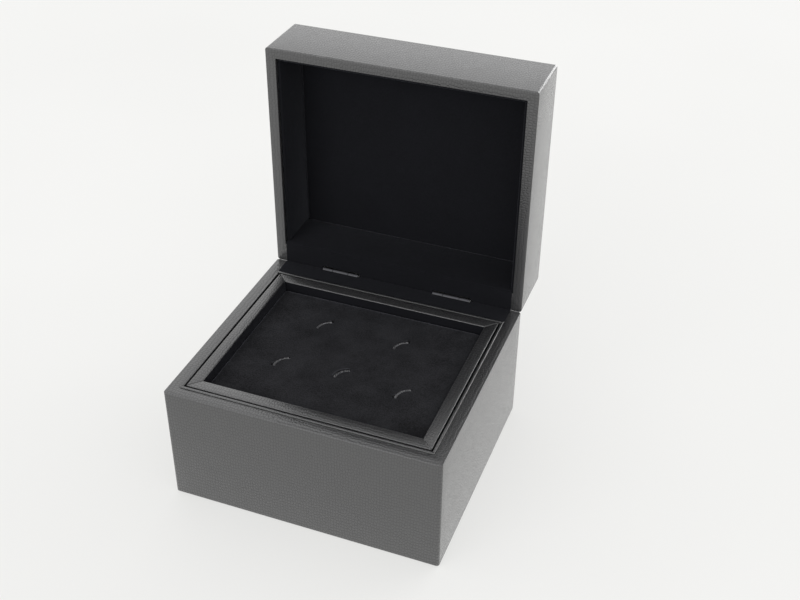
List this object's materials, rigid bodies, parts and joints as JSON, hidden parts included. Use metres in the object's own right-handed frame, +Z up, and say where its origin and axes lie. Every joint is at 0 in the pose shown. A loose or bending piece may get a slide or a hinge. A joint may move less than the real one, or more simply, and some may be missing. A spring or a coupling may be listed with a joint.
{
  "type": "watch box",
  "caption": "Leatherette-covered hinged watch box with a raised collar, velvet-lined lid and a lift-out slotted velvet tray over a cushion well.",
  "frame": {"origin": "centre of the base's underside", "axes": "+Z up, +Y towards the hinges and the open lid, +X to the right of somebody facing the open box"},
  "size_m": [0.15, 0.1691, 0.2021],
  "materials": {
    "leatherette": "embossed semi-gloss coated leatherette",
    "velvet": "short-pile velvet",
    "cushion_velvet": "short-pile velvet over wadding",
    "felt": "pressed felt",
    "grey_board": "uncoated grey board",
    "hinge_steel": "black plated steel"
  },
  "bodies": {
    "base": {"base_felt": "felt", "base_floor_board": "grey_board", "base_wrap": "leatherette", "base_front_board": "grey_board", "base_rear_board": "grey_board", "base_left_board": "grey_board", "base_right_board": "grey_board", "collar_front": "leatherette", "collar_rear": "leatherette", "collar_left": "leatherette", "collar_right": "leatherette", "well_lining_front": "velvet", "well_lining_rear": "velvet", "well_lining_left": "velvet", "well_lining_right": "velvet", "well_floor_pad": "velvet", "base_hinge_cover": "velvet", "hinge_leaf_base_left": "hinge_steel", "hinge_leaf_base_right": "hinge_steel", "hinge_pin_left": "hinge_steel", "hinge_pin_right": "hinge_steel", "hinge_screw_base_left_1": "hinge_steel", "hinge_screw_base_left_2": "hinge_steel", "hinge_screw_base_right_1": "hinge_steel", "hinge_screw_base_right_2": "hinge_steel"},
    "cushion": {"watch_cushion": "cushion_velvet"},
    "tray": {"tray_rail_front": "leatherette", "tray_rail_rear": "leatherette", "tray_rail_left": "leatherette", "tray_rail_right": "leatherette", "tray_floor_board": "grey_board", "tray_pad": "velvet"},
    "lid": {"lid_top_board": "grey_board", "lid_wrap": "leatherette", "lid_lining_panel": "velvet", "lid_hinge_cover": "velvet", "lid_front_board": "grey_board", "lid_rear_board": "grey_board", "lid_left_board": "grey_board", "lid_right_board": "grey_board", "lid_lining_front": "velvet", "lid_lining_rear": "velvet", "lid_lining_left": "velvet", "lid_lining_right": "velvet", "hinge_leaf_lid_left": "hinge_steel", "hinge_leaf_lid_right": "hinge_steel", "hinge_screw_lid_left_1": "hinge_steel", "hinge_screw_lid_left_2": "hinge_steel", "hinge_screw_lid_right_1": "hinge_steel", "hinge_screw_lid_right_2": "hinge_steel"}
  },
  "joints": [
    {"name": "lid_hinge", "type": "hinge", "parent": "base", "child": "lid", "pos_m": [0, 0.06635, 0.06895], "axis": [-1, 0, 0], "range_deg": [-90, 0]},
    {"name": "tray_lift", "type": "slide", "parent": "base", "child": "tray", "axis": [0, 0, 1], "range_m": [0, 0.024]},
    {"name": "cushion_lift", "type": "slide", "parent": "base", "child": "cushion", "axis": [0, 0, 1], "range_m": [0, 0.006]}
  ]
}
